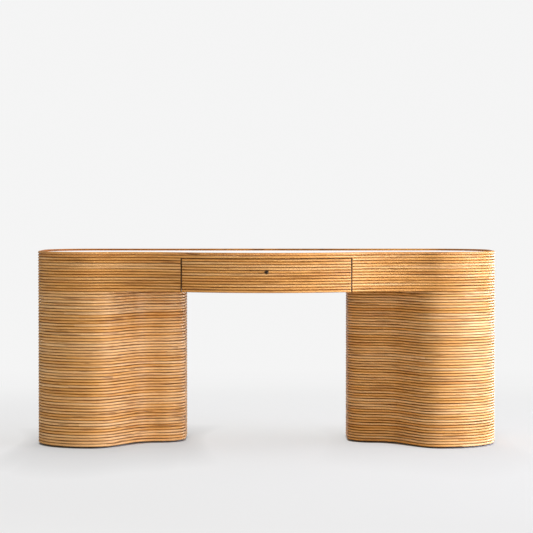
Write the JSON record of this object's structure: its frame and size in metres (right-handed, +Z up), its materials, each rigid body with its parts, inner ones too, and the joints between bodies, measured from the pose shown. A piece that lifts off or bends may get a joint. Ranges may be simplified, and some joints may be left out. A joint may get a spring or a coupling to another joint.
{
  "type": "reeded kneehole desk",
  "caption": "Double-pedestal desk wrapped in horizontal half-round rattan reeds, with a waved apron, a bow-front centre drawer on ball slides and an inset glass top.",
  "frame": {"origin": "on the floor under the centre of the box around the desk, knob included", "axes": "+X to the sitter's right as the front is faced, +Y towards the straight back (the drawer faces -Y), +Z up"},
  "size_m": [1.8, 0.78, 0.76],
  "materials": {
    "rattan": "satin natural rattan",
    "plywood": "bare plywood",
    "drawer_wood": "clear-lacquered hardwood",
    "glass": "clear polished",
    "clear_pad": "clear silicone",
    "bronze": "dark bronze",
    "zinc_steel": "zinc plated",
    "nylon": "matt"
  },
  "bodies": {
    "desk": {"rim_reed": "rattan", "apron_reeds": "rattan", "pedestal_reeds_left": "rattan", "pedestal_reeds_right": "rattan", "top_panel": "plywood", "apron_back_cleat": "plywood", "apron_wall_left": "plywood", "apron_soffit_left": "plywood", "bay_partition_left": "plywood", "pedestal_skin_left": "plywood", "pedestal_base_left": "plywood", "pedestal_former_left": "plywood", "pedestal_top_left": "plywood", "apron_wall_right": "plywood", "apron_soffit_right": "plywood", "bay_partition_right": "plywood", "pedestal_skin_right": "plywood", "pedestal_base_right": "plywood", "pedestal_former_right": "plywood", "pedestal_top_right": "plywood", "slide_cabinet_member_left": "zinc_steel", "slide_cabinet_screws_left": "zinc_steel", "pedestal_bolts_left": "zinc_steel", "pedestal_tee_nuts_left": "zinc_steel", "slide_cabinet_member_right": "zinc_steel", "slide_cabinet_screws_right": "zinc_steel", "pedestal_bolts_right": "zinc_steel", "pedestal_tee_nuts_right": "zinc_steel", "desktop_glass": "glass", "glass_pads": "clear_pad", "glides_left": "nylon", "glides_right": "nylon"},
    "drawer": {"drawer_front_board": "plywood", "drawer_front_reeds": "rattan", "drawer_knob": "bronze", "drawer_side_left": "drawer_wood", "drawer_side_right": "drawer_wood", "drawer_back": "drawer_wood", "drawer_bottom": "drawer_wood", "knob_screw": "zinc_steel", "slide_drawer_member_left": "zinc_steel", "slide_drawer_screws_left": "zinc_steel", "slide_drawer_member_right": "zinc_steel", "slide_drawer_screws_right": "zinc_steel"},
    "cage_left": {"slide_ball_cage_left": "zinc_steel", "slide_balls_left": "zinc_steel"},
    "cage_right": {"slide_ball_cage_right": "zinc_steel", "slide_balls_right": "zinc_steel"}
  },
  "joints": [
    {"name": "drawer_slide", "type": "slide", "parent": "desk", "child": "drawer", "axis": [0, -1, 0], "range_m": [0, 0.32]},
    {"name": "cage_left_slide", "type": "slide", "parent": "desk", "child": "cage_left", "axis": [0, -1, 0], "range_m": [0, 0.16]},
    {"name": "cage_right_slide", "type": "slide", "parent": "desk", "child": "cage_right", "axis": [0, -1, 0], "range_m": [0, 0.16]}
  ],
  "couplings": [
    {"joint": "cage_left_slide", "follows": "drawer_slide", "ratio": 0.5},
    {"joint": "cage_right_slide", "follows": "drawer_slide", "ratio": 0.5}
  ]
}
